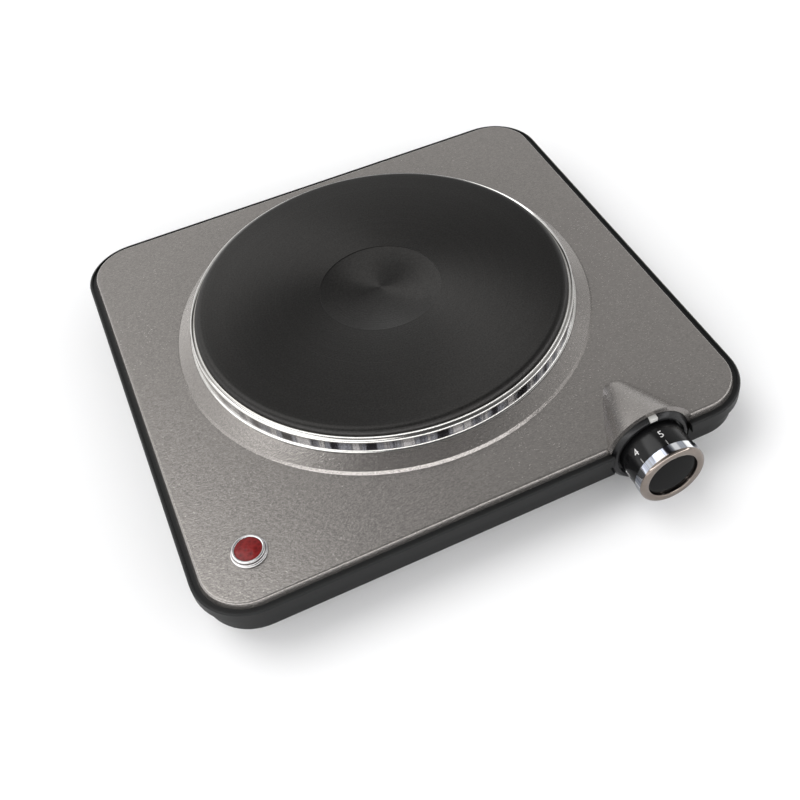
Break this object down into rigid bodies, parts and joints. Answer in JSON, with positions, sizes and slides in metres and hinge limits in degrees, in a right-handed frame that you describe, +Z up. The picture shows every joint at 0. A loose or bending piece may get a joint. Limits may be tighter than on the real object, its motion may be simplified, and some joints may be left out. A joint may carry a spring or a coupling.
{
  "type": "electric hot plate",
  "caption": "Portable electric hot plate: round cast-iron heating plate in a chromed ring on a flat steel cover, black tiered base, front thermostat knob and red pilot lamp.",
  "frame": {"origin": "middle of the whole outline, on the table plane under the feet", "axes": "+Z up; -Y towards the knob, the user's side; +X to the user's right"},
  "size_m": [0.264, 0.2752, 0.0455],
  "materials": {
    "black_base": "satin",
    "cover_steel": "fine grained",
    "plate_iron": "turned and blackened",
    "chrome": "polished",
    "zinc_steel": "zinc plated",
    "shield_sheet": "mill finish",
    "coil_alloy": "oxidised",
    "cement": "matt",
    "steatite": "matt",
    "brass": "machined",
    "bimetal": "rolled",
    "black_plastic": "semi gloss",
    "cap_black": "gloss",
    "marker_grey": "satin",
    "lens_red": "gloss",
    "neon_glass": "clear",
    "lead_brown": "matt",
    "lead_red": "matt",
    "lead_blue": "matt",
    "lead_grey": "matt",
    "lead_green": "matt",
    "foot_rubber": "matt"
  },
  "bodies": {
    "housing": {"base_pan": "black_base", "top_cover": "cover_steel", "cover_posts": "zinc_steel", "heating_plate": "plate_iron", "trim_ring": "chrome", "heating_coil": "coil_alloy", "insulating_cement": "cement", "element_cover": "shield_sheet", "element_terminal": "steatite", "terminal_pins": "zinc_steel", "centre_stud": "zinc_steel", "clamp_bar": "zinc_steel", "centre_washer": "zinc_steel", "centre_nut": "zinc_steel", "heat_shield": "shield_sheet", "thermal_fuse": "steatite", "fuse_clip": "zinc_steel", "thermostat_bracket": "zinc_steel", "thermostat_body": "steatite", "bimetal_strip": "bimetal", "contact_leaf": "brass", "thermostat_terminals": "brass", "spindle_bush": "brass", "bush_nut": "brass", "thermostat_screws": "zinc_steel", "bracket_screws": "zinc_steel", "knob_collar": "black_plastic", "index_marker": "marker_grey", "lamp_bezel": "chrome", "lamp_lens": "lens_red", "neon_bulb": "neon_glass", "lamp_holder": "steatite", "lamp_spring_nut": "zinc_steel", "terminal_block": "steatite", "terminal_screws": "brass", "cord_gland": "black_plastic", "gland_nut": "black_plastic", "live_lead": "lead_brown", "switched_lead": "lead_red", "neutral_lead": "lead_blue", "lamp_leads": "lead_grey", "earth_lead": "lead_green", "earth_screw": "brass", "rubber_feet": "foot_rubber", "foot_screws": "zinc_steel", "cover_screws": "zinc_steel"},
    "knob": {"knob_body": "black_plastic", "knob_trim_ring": "chrome", "knob_cap": "cap_black", "knob_spring_clip": "zinc_steel", "spindle": "brass"},
    "setting_pin": {"setting_pin": "steatite"}
  },
  "joints": [
    {"name": "knob_turn", "type": "hinge", "parent": "housing", "child": "knob", "pos_m": [0.074, -0.13, 0.022], "axis": [0, 1, 0], "range_deg": [0, 250]},
    {"name": "setting_slide", "type": "slide", "parent": "housing", "child": "setting_pin", "axis": [0, 1, 0], "range_m": [-0.0007, 0]}
  ],
  "couplings": [
    {"joint": "setting_slide", "follows": "knob_turn", "m_per_rad": -0.00015}
  ]
}
